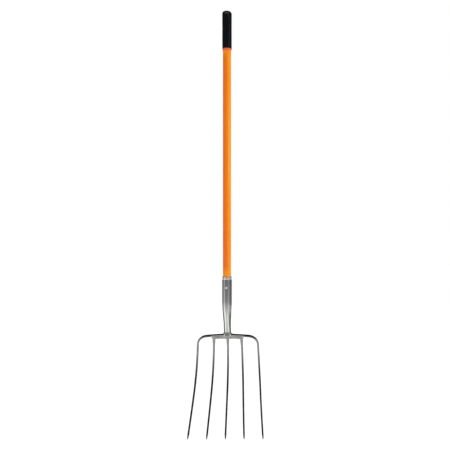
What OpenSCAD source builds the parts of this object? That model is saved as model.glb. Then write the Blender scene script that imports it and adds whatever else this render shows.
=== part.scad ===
// Five-tine manure fork with an insulated tube handle and a rubber end grip.
// Millimetres. +Z runs up the handle and the front faces -Y. The origin is on the
// handle's axis, at the point where a hand or a rack ring holds the grip.

/* [Handle] */
// Length of the handle tube from end to end
tube_len = 1146; // [700:1:1500]
// Outside diameter of the handle tube
tube_d = 32; // [26:0.5:40]
// Wall of the handle tube
tube_wall = 3; // [2:0.1:6]
// Length of the plug that closes the top of the tube
top_plug_len = 25; // [10:1:80]
// How far the hard plug at the tube's foot reaches above the rivet
plug_over = 25; // [12:1:60]
// Chamfer on both ends of each plug
plug_chamfer = 2; // [0.5:0.1:4]

/* [Grip] */
// Length of the grip from its end to its foot
grip_len = 150; // [125:1:260]
// Rubber around the tube in the upper barrel
grip_wall = 2.85; // [2.8:0.05:6]
// Rubber around the tube below the barrel
grip_foot_wall = 2.5; // [1.5:0.05:2.75]
// Rubber over the end of the tube
grip_end = 6; // [5:0.5:20]
// Length of the upper barrel with its rounded end
barrel_len = 98; // [70:1:120]
// Radius of the grip's rounded end
grip_round = 9; // [2:0.5:12]
// Distance from the grip's end down to the hold point
hold_drop = 53; // [30:1:60]
// Height of the coloured band at the grip's foot
band_h = 8; // [3:0.5:30]
// Thickness of the band at its top
band_wall = 1.2; // [1:0.1:3]
// Thickness of the band at its lower lip
band_lip = 0.6; // [0.3:0.1:0.9]

/* [Socket] */
// Length of tube that goes into the socket
socket_depth = 80; // [50:1:120]
// Steel around the tube
socket_wall = 3.1; // [2:0.1:6]
// Length of the straight part of the socket below the tube's end
socket_foot = 4; // [3:0.5:20]
// Depth of the hollow below the tube's end
hollow_len = 60; // [20:1:70]
// Diameter at the bottom of the hollow
hollow_end_d = 9; // [4:0.5:10]
// Width of the ledge that the tube stands on
ledge_w = 2; // [1:0.1:4]
// Bevel on the outer edge of the socket's mouth
mouth_bevel = 0.8; // [0.2:0.1:1.5]
// Height of the bright ring on the socket's mouth
ring_h = 14; // [6:0.5:30]
// Wall of the bright ring
ring_wall = 2.2; // [1.6:0.1:5]
// Radius of the ring's rolled upper edge
ring_round = 1.4; // [0.4:0.1:1.5]

/* [Neck] */
// Length of the neck from the straight socket to the shoulder
neck_len = 138; // [110:0.1:220]
// Width of the neck at its foot
neck_w = 27.6; // [20:0.1:34]
// Depth of the neck at its foot, front to back
neck_deep = 12.5; // [11:0.1:17]
// Backward lean of the neck's foot in degrees
head_lean = 13; // [5:0.5:18]
// Reach of the weld beside the neck's foot
neck_weld_side = 6.5; // [2:0.1:8]
// Reach of the weld in front of and behind the neck's foot
neck_weld_front = 1.5; // [1:0.1:2.4]
// Height of the weld on the neck's foot
neck_weld_h = 10; // [3:0.1:14]

/* [Rivet] */
// Diameter of the rivet's shank
rivet_d = 6; // [4:0.5:8]
// Distance of the rivet below the socket's mouth
rivet_drop = 30; // [20:1:40]
// Diameter of the domed head at the front
rivet_head_d = 9.5; // [9:0.1:13]
// Height of the domed head over the socket
rivet_head_h = 2.6; // [1.5:0.1:5]
// Diameter of the washer at the back
washer_d = 14; // [12:0.5:18]
// Thickness of the washer over the socket
washer_t = 1.6; // [1:0.1:3]
// Diameter of the closed end over the washer
rivet_tail_d = 8.6; // [8.1:0.1:11]
// Height of the closed end over the washer
rivet_tail_h = 1.8; // [1:0.1:4]

/* [Shoulder] */
// Width between the outer tines under the bends, centre to centre
shoulder_w = 243.5; // [225:0.5:320]
// Height of the shoulder bar
bow_h = 7.6; // [6:0.1:12]
// Depth of the shoulder bar at its ends
bow_deep = 11; // [7:0.1:14]
// Depth of the shoulder bar under the neck
bow_mid_deep = 19; // [18:0.5:34]
// Width of the part of the shoulder bar that swells under the neck
bow_swell_w = 60; // [50:1:130]
// Radius of the bends, at the middle of the bar
bend_r = 38; // [25:1:46]
// Slope of the shoulder bar where its bends start, in degrees
bow_droop = 6.5; // [2:0.5:9]
// Height of the band that the inner tines' roots make under the shoulder
web_h = 11; // [6:0.1:16]
// Thickness of that band
web_deep = 7; // [5:0.1:9]

/* [Tines] */
// Length of a tine along its curve, from the middle of the shoulder bar
tine_len = 406.5; // [300:0.5:520]
// Radius of the dish that the tines follow from the shoulder down
dish_r = 450; // [300:10:900]
// Forward lean of the tines' straight lower ends, in degrees
tip_lean = 17.5; // [8:0.5:24]
// Width between the outer points
tip_w = 295.5; // [210:0.5:360]
// Width between the inner tines at the bends' height
inner_root_w = 113; // [100:0.5:118]
// Width between the inner points
inner_tip_w = 147; // [115:0.5:160]
// Width of an inner tine's root under the band
root_w = 11; // [9:0.1:14]
// Length over which a root narrows
root_len = 28; // [15:1:60]
// Radius in the corner between the band and a root
root_fillet = 4; // [2:0.1:7]
// Flare of the inner tines' outer edges up to the shoulder
outer_flare = 5; // [2:0.1:8]
// Width of a tine below its root
tine_w = 8; // [6:0.1:9]
// Depth of a tine below its root, front to back
tine_deep = 8; // [6:0.1:11]
// Width of a tine where its point starts
tip_thick = 7; // [4:0.1:8]
// Depth of a tine where its point starts
tip_deep = 7; // [4:0.1:9]
// Length of the point
point_len = 18; // [15:1:60]
// Width of the blunted end of the point
point_blunt = 1.8; // [0.4:0.1:3]
// Leg of the welds that hold the inner tines
tine_weld_leg = 1.8; // [0.8:0.1:2.5]

/* [Hidden] */
$fn = 96;

// Clearances
// Between the grip or its band and the tube
grip_fit = 0.1;
// Between the tube and the steel around it
tube_fit = 0.15;
// Between the tube's bore and what fills it
fill_fit = 0.1;
// Between the rivet and what it goes through or sits on
rivet_fit = 0.05;
// Between welded pieces and around their welds
weld_fit = 0.15;
// How far each cut runs past the face that it opens
overrun = 1;
// How far the neck's faceted skin stays inside the straight socket
neck_step = 0.2;

// Shares
// Part of the neck, from its top, over which it tapers
neck_taper_share = 0.74;
// Slope of a tine at its root, as a share of its mean splay
root_slope_share = 0.67;
// Corner radius of a bar or tine, as a share of its smaller half size
bar_corner_share = 0.5;
// How blunt a point is: 1 is a straight cone
point_share = 0.5;
// Fall of the band's underside towards a tine, as a share of the band's height
web_fall_share = 0.06;
// Hollow of a weld's face between its two edges
weld_hollow_share = 0.3;

// Steps of the faceted skins
arc_steps = 8;
corner_steps = 3;
neck_sides = 32;
neck_steps = 16;
droop_steps = 7;
bend_steps = 12;
root_steps = 8;
tine_steps = 16;
point_steps = 5;
fillet_steps = 3;
weld_steps = 4;

// Heights down the handle
grip_top = hold_drop;
grip_foot = grip_top - grip_len;
barrel_foot = grip_top - barrel_len;
tube_top = grip_top - grip_end;
tube_foot = tube_top - tube_len;
socket_mouth = tube_foot + socket_depth;
socket_end = tube_foot - socket_foot;
rivet_z = socket_mouth - rivet_drop;
rivet_plug_len = rivet_z + plug_over - tube_foot;

// Radii around the handle's axis
tube_r = tube_d / 2;
bore_r = tube_r - tube_wall;
fill_r = bore_r - fill_fit;
grip_bore_r = tube_r + grip_fit;
barrel_r = grip_bore_r + grip_wall;
grip_foot_r = grip_bore_r + grip_foot_wall;
socket_bore_r = tube_r + tube_fit;
socket_r = socket_bore_r + socket_wall;
ring_r = socket_bore_r + ring_wall;

// Where the neck ends and the shoulder starts
function radians(degrees) = degrees * PI / 180;
neck_r = neck_len / radians(head_lean);
seat_s = bow_h / 2 + weld_fit;
neck_foot_y = neck_r * (1 - cos(head_lean));
neck_foot_z = socket_end - neck_r * sin(head_lean);
bow_y = neck_foot_y + seat_s * sin(head_lean);
bow_z = neck_foot_z - seat_s * cos(head_lean);

// Flat layout of the head: x across, s down from the shoulder bar's middle, t to the front.
// The outer tines start where the bends end.
bow_swell_x = bow_swell_w / 2;
outer_root_x = shoulder_w / 2;
outer_tip_x = tip_w / 2;
inner_root_x = inner_root_w / 2;
inner_tip_x = inner_tip_w / 2;
seam_x = inner_root_x / 2;
// The root's slope needs the length below the bend, which is close to the length below the bend's centre
outer_splay = atan(root_slope_share * (outer_tip_x - outer_root_x) / (tine_len - bend_r));
bend_turn = 90 - outer_splay;
bend_start_x = outer_root_x - bend_r * (sin(bend_turn) - sin(bow_droop));
droop_r = bend_start_x / sin(bow_droop);
bend_x = bend_start_x - bend_r * sin(bow_droop);
bend_s = droop_r * (1 - cos(bow_droop)) + bend_r * cos(bow_droop);
root_s = bend_s - bend_r * cos(bend_turn);
point_s = tine_len - point_len;
dish_s = dish_r * radians(head_lean + tip_lean);
web_fall = web_h * web_fall_share;
web_foot_s = seat_s + web_h;
fillet_foot_s = web_foot_s + root_fillet;
root_foot_s = fillet_foot_s + root_len;

// Smooth step from 0 to 1
function ease(q) = let (c = max(0, min(1, q))) c * c * (3 - 2 * c);
// Value on the straight line from a to b
function mix(a, b, q) = a + (b - a) * q;
// Points of an arc in the plane
function arc(centre, r, from, to) =
    [for (i = [0:arc_steps]) let (a = mix(from, to, i / arc_steps)) centre + r * [cos(a), sin(a)]];
// Rounded rectangle around zero, reaching left and right across and half each way in depth
function section(left, right, half, corner) =
    [for (quarter = [0:3], j = [0:corner_steps])
        let (a = 90 * (quarter + j / corner_steps))
        let (x = quarter == 0 || quarter == 3 ? right - corner : corner - left)
        let (y = quarter < 2 ? half - corner : corner - half)
        [x + corner * cos(a), y + corner * sin(a)]];
// Oval of the neck at a share q of its length, grown by side across and by front in depth
function neck_half_w(q) = mix(socket_r - neck_step, neck_w / 2, ease(q / neck_taper_share));
function neck_half_d(q) = mix(socket_r - neck_step, neck_deep / 2, ease(q / neck_taper_share));
function neck_oval(q, side, front) =
    [for (i = [0:neck_sides - 1])
        let (a = 360 * i / neck_sides)
        [(neck_half_w(q) + side) * cos(a), (neck_half_d(q) + front) * sin(a)]];
// Point of the neck: p is across and to the front, lean is how far the neck has turned there
function neck_point(p, lean) =
    [p[0], neck_r * (1 - cos(lean)) - p[1] * cos(lean), socket_end - neck_r * sin(lean) - p[1] * sin(lean)];
// Point of the head, laid from the flat layout onto the dish and its straight lower end
function dish_lean(s) = max(-tip_lean, head_lean - s / dish_r * 180 / PI);
function dish_point(x, s, t) =
    let (lean = dish_lean(s))
    let (straight = max(0, s - dish_s))
    [
        x,
        bow_y + dish_r * (cos(lean) - cos(head_lean)) + straight * sin(lean) - t * cos(lean),
        bow_z - dish_r * (sin(head_lean) - sin(lean)) - straight * cos(lean) - t * sin(lean)
    ];
// Drop of the shoulder bar's middle line at x
function drop(x) = droop_r - sqrt(max(0, droop_r * droop_r - x * x));
// Splay of a tine from its root to its tip, with its slope growing on the way
function splay(root_x, tip_x, q) = mix(root_x, tip_x, root_slope_share * q + (1 - root_slope_share) * q * q);
function splay_slope(root_x, tip_x, run, q) =
    (tip_x - root_x) / run * (root_slope_share + 2 * (1 - root_slope_share) * q);
// Half size along a point, p from 0 at its start to 1 at its end
function point_half(half, p) = mix(point_blunt / 2, half, pow(1 - p, point_share));

// Triangles of a skin over rings of n points, closed at both ends or run round in a loop
function skin_faces(rings, n) =
    [for (k = [0:rings - 2], i = [0:n - 1])
        each [
            [k * n + i, (k + 1) * n + i, k * n + (i + 1) % n],
            [k * n + (i + 1) % n, (k + 1) * n + i, (k + 1) * n + (i + 1) % n]
        ]];
function cap_faces(rings, n) =
    [for (i = [1:n - 2])
        each [[0, i, i + 1], [(rings - 1) * n, (rings - 1) * n + i + 1, (rings - 1) * n + i]]];
module skin(rings) {
    n = len(rings[0]);
    polyhedron(
        points = [for (ring = rings) each ring],
        faces = concat(skin_faces(len(rings), n), cap_faces(len(rings), n))
    );
}
module loop_skin(rings) {
    n = len(rings[0]);
    count = len(rings);
    points = [for (ring = rings) each ring];
    faces = skin_faces(count + 1, n);
    polyhedron(points = points, faces = [for (face = faces) [for (corner = face) corner % (count * n)]]);
}

// Round bar across the handle from front to back at the rivet's height
module across(d, from_y, to_y) {
    translate([0, to_y, rivet_z])
        rotate([90, 0, 0])
        cylinder(d = d, h = to_y - from_y);
}
// Plug of the tube's bore from its foot up
module plug(foot, length) {
    top = foot + length;
    rotate_extrude()
        polygon([
            [0, foot],
            [fill_r - plug_chamfer, foot],
            [fill_r, foot + plug_chamfer],
            [fill_r, top - plug_chamfer],
            [fill_r - plug_chamfer, top],
            [0, top]
        ]);
}

module grip() {
    color("#17191c")
        difference() {
            rotate_extrude()
                polygon(concat(
                    [
                        [0, grip_foot],
                        [grip_foot_r, grip_foot],
                        [grip_foot_r, barrel_foot - (barrel_r - grip_foot_r)],
                        [barrel_r, barrel_foot]
                    ],
                    arc([barrel_r - grip_round, grip_top - grip_round], grip_round, 0, 90),
                    [[0, grip_top]]
                ));
            translate([0, 0, grip_foot - overrun])
                cylinder(r = grip_bore_r, h = tube_top - grip_foot + overrun);
        }
}

module grip_band() {
    color("#e2604a")
        rotate_extrude()
        polygon([
            [grip_bore_r, grip_foot - band_h],
            [grip_bore_r + band_lip, grip_foot - band_h],
            [grip_bore_r + band_wall, grip_foot - (band_wall - band_lip)],
            [grip_bore_r + band_wall, grip_foot],
            [grip_bore_r, grip_foot]
        ]);
}

module handle_tube() {
    color("#f37d21")
        difference() {
            translate([0, 0, tube_foot])
                cylinder(r = tube_r, h = tube_len);
            translate([0, 0, tube_foot - overrun])
                cylinder(r = bore_r, h = tube_len + 2 * overrun);
            across(rivet_d + 2 * rivet_fit, -tube_r - overrun, tube_r + overrun);
        }
}

module foam_core() {
    color("#e8d9a0")
        translate([0, 0, tube_foot + rivet_plug_len])
        cylinder(r = fill_r, h = tube_len - rivet_plug_len - top_plug_len);
}

module top_plug() {
    color("#3a3c40")
        plug(tube_top - top_plug_len, top_plug_len);
}

module rivet_plug() {
    color("#c9a36a")
        difference() {
            plug(tube_foot, rivet_plug_len);
            across(rivet_d + 2 * rivet_fit, -tube_r, tube_r);
        }
}

module ferrule_ring() {
    color("#cfc6b0")
        rotate_extrude()
        polygon(concat(
            [[socket_bore_r, socket_mouth], [ring_r, socket_mouth]],
            arc([ring_r - ring_round, socket_mouth + ring_h - ring_round], ring_round, 0, 90),
            [[socket_bore_r, socket_mouth + ring_h]]
        ));
}

// Oval skin of the neck, from inside the straight socket down to the shoulder
module neck() {
    inside = [for (p = neck_oval(0, 0, 0)) [p[0], -p[1], socket_end + socket_foot / 2]];
    skin(concat(
        [inside],
        [for (k = [0:neck_steps])
            let (q = k / neck_steps)
            [for (p = neck_oval(q, 0, 0)) neck_point(p, head_lean * q)]]
    ));
}

module socket() {
    color("#8f9194")
        difference() {
            union() {
                rotate_extrude()
                    polygon([
                        [0, socket_end],
                        [socket_r, socket_end],
                        [socket_r, socket_mouth - mouth_bevel],
                        [socket_r - mouth_bevel, socket_mouth],
                        [0, socket_mouth]
                    ]);
                neck();
            }
            translate([0, 0, tube_foot])
                cylinder(r = socket_bore_r, h = socket_depth + overrun);
            translate([0, 0, tube_foot - hollow_len])
                cylinder(d1 = hollow_end_d, r2 = socket_bore_r - ledge_w, h = hollow_len);
            translate([0, 0, tube_foot - overrun])
                cylinder(r = socket_bore_r - ledge_w, h = 2 * overrun);
            across(rivet_d + 2 * rivet_fit, -socket_r - overrun, socket_r + overrun);
        }
}

// Points of a dome's profile from its rim up, over a round seat at height zero
function dome(d, h) =
    let (dome_r = (d * d / 4 + h * h) / (2 * h))
    let (half_angle = asin(d / 2 / dome_r))
    arc([0, h - dome_r], dome_r, 90 - half_angle, 90);

// Space that the socket's straight part takes up, with the rivet's clearance
module socket_space() {
    translate([0, 0, socket_end])
        cylinder(r = socket_r + rivet_fit, h = socket_mouth - socket_end);
}

// Shank from inside the domed head at the front to its closed end over the washer, lying along +Y
module socket_rivet() {
    // The head's round rim runs back until it meets the socket's wall
    rim = socket_r - sqrt(socket_r * socket_r - rivet_head_d * rivet_head_d / 4);
    shank_h = 2 * socket_r + washer_t + rivet_fit + rivet_head_h / 2;
    color("#c8c8c8") {
        difference() {
            translate([0, -socket_r, rivet_z])
                rotate([90, 0, 0])
                rotate_extrude()
                polygon(concat(
                    [[0, -rim], [rivet_head_d / 2, -rim]],
                    dome(rivet_head_d, rivet_head_h)
                ));
            socket_space();
        }
        translate([0, -socket_r - rivet_head_h / 2, rivet_z])
            rotate([-90, 0, 0])
            rotate_extrude()
            polygon(concat(
                [[0, 0], [rivet_d / 2, 0], [rivet_d / 2, shank_h]],
                [for (p = dome(rivet_tail_d, rivet_tail_h)) p + [0, shank_h]]
            ));
    }
}

module rivet_washer() {
    // The washer is formed to the socket's wall, so its rim runs back to it
    rim_seat = sqrt(socket_r * socket_r - washer_d * washer_d / 4);
    color("#b4b5b6")
        difference() {
            across(washer_d, rim_seat, socket_r + washer_t);
            across(rivet_d + 2 * rivet_fit, 0, socket_r + washer_t + overrun);
            socket_space();
        }
}

module neck_weld() {
    low = neck_oval(1, weld_fit, weld_fit);
    out = neck_oval(1, weld_fit + neck_weld_side, weld_fit + neck_weld_front);
    face_side = weld_fit + neck_weld_side * weld_hollow_share;
    face_front = weld_fit + neck_weld_front * weld_hollow_share;
    face = neck_oval(1, face_side, face_front);
    // Each height above the foot is a lean short of the foot's own
    top_lean = head_lean * (1 - neck_weld_h / neck_len);
    face_lean = head_lean * (1 - neck_weld_h * weld_hollow_share / neck_len);
    color("#76787b")
        loop_skin([for (i = [0:neck_sides - 1])
            [
                neck_point(low[i], head_lean),
                neck_point(low[i], top_lean),
                neck_point(face[i], face_lean),
                neck_point(out[i], head_lean)
            ]]);
}

// Stations of the shoulder bar and the outer tine on the right: x, s, direction, half height, half depth
function bow_stations() =
    concat(
        [for (i = [0:droop_steps])
            let (a = bow_droop * i / droop_steps)
            let (x = droop_r * sin(a))
            [x, drop(x), a, bow_h / 2, mix(bow_mid_deep, bow_deep, ease(x / bow_swell_x)) / 2]],
        [for (i = [1:bend_steps])
            let (q = i / bend_steps)
            let (a = mix(bow_droop, bend_turn, q))
            [
                bend_x + bend_r * sin(a),
                bend_s - bend_r * cos(a),
                a,
                mix(bow_h, tine_w, q) / 2,
                mix(bow_deep, tine_deep, q) / 2
            ]],
        [for (i = [1:tine_steps])
            let (q = i / tine_steps)
            outer_station(mix(root_s, point_s, q), mix(tine_w, tip_thick, q) / 2, mix(tine_deep, tip_deep, q) / 2)],
        [for (i = [1:point_steps])
            let (p = i / point_steps)
            outer_station(mix(point_s, tine_len, p), point_half(tip_thick / 2, p), point_half(tip_deep / 2, p))]
    );
function outer_station(s, half_w, half_d) =
    let (run = tine_len - root_s)
    let (q = (s - root_s) / run)
    [
        splay(outer_root_x, outer_tip_x, q),
        s,
        90 - atan(splay_slope(outer_root_x, outer_tip_x, run, q)),
        half_w,
        half_d
    ];
// Ring around a station; side is 1 on the right and -1 on the left
function bow_ring(station, side) =
    let (a = station[2])
    let (corner = bar_corner_share * min(station[3], station[4]))
    [for (p = section(station[3], station[3], station[4], corner))
        dish_point(side * (station[0] + p[0] * sin(a)), station[1] - p[0] * cos(a), p[1])];

module shoulder_bow() {
    right = bow_stations();
    last = len(right) - 1;
    color("#5b5e61")
        skin(concat(
            [for (i = [last:-1:1]) bow_ring(right[i], -1)],
            [for (i = [0:last]) bow_ring(right[i], 1)]
        ));
}

// Half width of an inner tine at s, without its band
function tine_half(s) =
    s <= root_foot_s
        ? mix(root_w, tine_w, ease((s - fillet_foot_s) / root_len)) / 2
        : mix(tine_w, tip_thick, (s - root_foot_s) / (point_s - root_foot_s)) / 2;
function tine_half_deep(s) =
    s <= root_foot_s
        ? mix(web_deep, tine_deep, ease((s - web_foot_s) / (root_foot_s - web_foot_s))) / 2
        : mix(tine_deep, tip_deep, (s - root_foot_s) / (point_s - root_foot_s)) / 2;
// Stations of an inner tine: s, how far the band may reach past the tine, half width, half depth
function inner_stations(reach) =
    concat(
        [for (s = [seat_s, web_foot_s - web_fall]) [s, reach, tine_half(s), tine_half_deep(s)]],
        [for (i = [0:fillet_steps])
            let (a = 90 * i / fillet_steps)
            let (s = web_foot_s + root_fillet * (1 - cos(a)))
            [s, root_fillet * (1 - sin(a)), tine_half(s), tine_half_deep(s)]],
        [for (i = [1:root_steps])
            let (s = mix(fillet_foot_s, root_foot_s, i / root_steps))
            [s, 0, tine_half(s), tine_half_deep(s)]],
        [for (i = [1:tine_steps])
            let (s = mix(root_foot_s, point_s, i / tine_steps))
            [s, 0, tine_half(s), tine_half_deep(s)]],
        [for (i = [1:point_steps])
            let (p = i / point_steps)
            let (s = mix(point_s, tine_len, p))
            [s, 0, point_half(tip_thick / 2, p), point_half(tip_deep / 2, p)]]
    );
// Middle line of an inner tine
function inner_x(root_x, tip_x, s) = splay(root_x, tip_x, (s - root_s) / (tine_len - root_s));
// Flare of an outer edge that no neighbour meets
function flare(s) = outer_flare * pow(max(0, 1 - (s - seat_s) / (fillet_foot_s - seat_s)), 2);

// Inner tine at root_x, whose band reaches to in_x on its left, and to out_x on its right if out_x is given
module inner_tine(root_x, tip_x, in_x, out_x) {
    reach = root_w + seam_x;
    run = tine_len - seat_s;
    skin([for (station = inner_stations(reach))
        let (s = station[0])
        let (x = inner_x(root_x, tip_x, s))
        let (left = min(x - in_x, station[2] + station[1]))
        let (right = is_undef(out_x) ? station[2] + flare(s) : min(out_x - x, station[2] + station[1]))
        let (corner = bar_corner_share * min(station[2], station[3]))
        [for (p = section(left, right, station[3], corner))
            let (px = x + p[0])
            dish_point(px, s + drop(px) * (1 - (s - seat_s) / run), p[1])]]);
}
module side_tine() {
    color("#86898a")
        inner_tine(inner_root_x, inner_tip_x, seam_x + weld_fit / 2);
}
module inner_tine_left() {
    mirror([1, 0, 0])
        side_tine();
}
module middle_tine() {
    color("#8b8e8e")
        inner_tine(0, 0, weld_fit / 2 - seam_x, seam_x - weld_fit / 2);
}
module inner_tine_right() {
    side_tine();
}

// Bead in the corner between the shoulder and a root, from from_x to to_x; side is 1 in front, -1 behind
module tine_weld(from_x, to_x, side) {
    face_t = web_deep / 2 + weld_fit;
    order = side > 0 ? [0, 1, 2] : [0, 2, 1];
    skin([for (i = [0:weld_steps])
        let (x = mix(from_x, to_x, i / weld_steps))
        let (s = seat_s + drop(x))
        let (corners = [[s, face_t], [s, face_t + tine_weld_leg], [s + tine_weld_leg, face_t]])
        [for (k = order) dish_point(x, corners[k][0], side * corners[k][1])]]);
}
module tine_welds() {
    // The welds stop half a root's width short of each seam
    gap = root_w / 2;
    color("#6d7073")
        for (side = [-1, 1]) {
            tine_weld(gap - seam_x, seam_x - gap, side);
            tine_weld(seam_x + gap, inner_root_x, side);
            tine_weld(-inner_root_x, -seam_x - gap, side);
        }
}

grip();
grip_band();
handle_tube();
foam_core();
top_plug();
rivet_plug();
ferrule_ring();
socket();
socket_rivet();
rivet_washer();
neck_weld();
shoulder_bow();
inner_tine_left();
middle_tine();
inner_tine_right();
tine_welds();
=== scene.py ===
"""Looks of a five-tine manure fork, built around its packed solids.

Laid out as an add-on and run as a script. Sizes are in metres, in the solids' own frame: +Z runs
up the handle, the front faces -Y and the origin is at the hold point on the handle's axis.
"""

import math

import bmesh
import bpy
from bpy.props import FloatProperty, FloatVectorProperty, PointerProperty
from mathutils import Matrix, Vector


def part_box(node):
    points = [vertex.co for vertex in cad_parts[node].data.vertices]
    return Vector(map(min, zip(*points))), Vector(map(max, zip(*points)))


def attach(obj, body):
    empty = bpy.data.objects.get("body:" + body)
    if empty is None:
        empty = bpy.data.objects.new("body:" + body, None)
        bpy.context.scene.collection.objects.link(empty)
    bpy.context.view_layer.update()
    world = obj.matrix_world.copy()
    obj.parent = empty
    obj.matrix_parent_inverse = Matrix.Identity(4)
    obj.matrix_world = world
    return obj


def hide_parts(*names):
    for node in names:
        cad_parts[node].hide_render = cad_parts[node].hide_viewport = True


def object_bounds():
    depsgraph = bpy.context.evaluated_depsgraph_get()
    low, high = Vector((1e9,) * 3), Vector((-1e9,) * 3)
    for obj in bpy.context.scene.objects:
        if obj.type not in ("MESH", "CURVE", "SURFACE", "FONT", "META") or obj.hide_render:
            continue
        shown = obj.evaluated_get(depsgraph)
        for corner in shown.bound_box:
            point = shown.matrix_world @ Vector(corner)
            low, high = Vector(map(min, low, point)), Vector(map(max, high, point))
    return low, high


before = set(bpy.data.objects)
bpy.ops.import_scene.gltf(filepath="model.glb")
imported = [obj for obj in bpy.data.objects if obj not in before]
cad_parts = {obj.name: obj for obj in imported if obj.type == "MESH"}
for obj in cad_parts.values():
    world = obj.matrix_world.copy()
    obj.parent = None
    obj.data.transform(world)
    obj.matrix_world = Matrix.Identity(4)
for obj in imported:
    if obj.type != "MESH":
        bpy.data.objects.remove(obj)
CAD_LOW, CAD_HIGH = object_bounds()
GRIP_LOW, GRIP_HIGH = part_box("grip")
BAND_LOW, BAND_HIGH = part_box("grip_band")
TUBE_LOW, TUBE_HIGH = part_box("handle_tube")
RING_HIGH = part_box("ferrule_ring")[1]
SOCKET_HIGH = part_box("socket")[1]
RIVET_LOW, RIVET_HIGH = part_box("socket_rivet")

bl_info = {
    "name": "Manure fork",
    "version": (1, 0, 0),
    "blender": (4, 5, 0),
    "location": "View3D > Sidebar > Fork",
    "description": "Builds the visible pieces of a five-tine manure fork and its studio",
    "category": "Object",
}

# Shares of the head's sizes, as in the solids
NECK_TAPER_SHARE = 0.74
ROOT_SLOPE_SHARE = 0.67
BAR_CORNER_SHARE = 0.5
POINT_SHARE = 0.5
WEB_FALL_SHARE = 0.06

# The neck's weld: how round its hollow is, and how deep it sits in the bar as a share of its height
WELD_HOLLOW_SHARE = 0.7
WELD_SINK_SHARE = 0.4

# Share of the neck's length over which its depth falls, more than for its width, as its highlight shows
DEPTH_TAPER_SHARE = 0.95

# Places on the grip as shares of its length from the top, and its swell as a share of its growth
GRIP_BARREL_SHARE = 0.2
GRIP_WAIST_SHARE = 0.38
GRIP_SWELL_SHARE = 0.62
GRIP_SWELL_GROWTH_SHARE = 0.7

# Shares of radius and height where the rivet's two domes start, and of height where its tail's edge is
HEAD_DOME_SHARES = (0.66, 0.86)
TAIL_DOME_SHARES = (0.62, 0.16)
TAIL_EDGE_SHARE = 0.8

# Extra rings under the socket's mouth: shares of its bevel that keep it crisp, and drops in metres
MOUTH_ROUND_SHARE = 0.3
MOUTH_RING_SHARES = (1.3, 2.0)
SOCKET_RING_DROPS = (0.02, 0.05)

# Seam beads: centre and radius as shares of their leg, how thin their ends are and how fast they swell, and
# the share and the turn per step of their ripples
BEAD_DOWN_SHARE = 0.42
BEAD_FORWARD_SHARE = 0.32
BEAD_RADIUS_SHARE = 0.5
BEAD_END_SHARE = 0.35
BEAD_END_RATE = 4.0
BEAD_RIPPLE_SHARE = 0.06
BEAD_RIPPLE_TURN = 1.7

# Roundings of edges, in metres
EDGE_SHARP = 0.0003
EDGE_FINE = 0.0004
EDGE_SOFT = 0.0005
EDGE_ROLLED = 0.0006
EDGE_DRESSED = 0.0008
BAND_ROUND = 0.0012
GRIP_BLEND = 0.018
HEAD_DOME_ROUND = 0.0016
TAIL_DOME_ROUND = 0.001

# Steps of the meshes
TURN_STEPS = 96
ROUND_SEGMENTS = 6
NECK_SIDES = 64
NECK_STEPS = 48
CORNER_SEGMENTS = 5
DROOP_STEPS = 24
BEND_STEPS = 24
TINE_STEPS = 56
POINT_STEPS = 12
ROOT_STEPS = 16
FILLET_STEPS = 8
BEAD_SIDES = 8
BEAD_STEPS = 36
FLOOR_STEPS = 8
MERGE = 1e-6
NEAR = 1e-5
SHARP_ANGLE = 35.0

# A dark reflection painted on the steel, on the flanks of the neck and its weld, the top of the bar and its
# faces beyond the roots, is a value of the vertices. Each fade is a start and a width: across the flanks of
# the neck and its weld as shares of the half width, and along the neck and the bends as shares of their
# length.
PAINTED_DARK_LAYER = "forge_scale"
FACE_PAINTED_DARK = 0.8
CORNER_PAINTED_DARK_RATE = 2.2
NECK_FLANK_FADE = (0.57, 0.13)
WELD_FLANK_FADE = (0.68, 0.1)
NECK_FADE = (0.05, 0.4)
BEND_FADE = (0.25, 0.85)

# Where finishes change, and where light and shade are painted: pairs of heights, or of distances from the
# middle. The painted glint on the grip has its own middle.
# Heights and middle of a highlight painted on the grip's rim
GLINT_RISES = (0.037, 0.0405)
GLINT_FALLS = (0.044, 0.047)
GLINT_MIDDLE = 0.001
GLINT_FADES = (0.0025, 0.0115)
# Heights of the light painted on the tube just above the ring and just below the band
TUBE_FOOT_PAINTED_LIGHT = (RING_HIGH.z + 0.01, RING_HIGH.z + 0.045)
TUBE_TOP_PAINTED_LIGHT = (BAND_LOW.z - 0.035, BAND_LOW.z - 0.008)
TUBE_DEEPENS = (-0.88, -0.66)
# Heights over which a dark reflection is painted on the tines' lower blades
BLADES_PAINTED_DARK = (-1.382, -1.325)
# Distances from the middle over which shade is painted on the toe of the neck's weld
TOE_FADES = (0.0112, 0.0088)

# Usual low and high of a noise, between which a finish varies
GRAIN = (0.3, 0.7)

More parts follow.
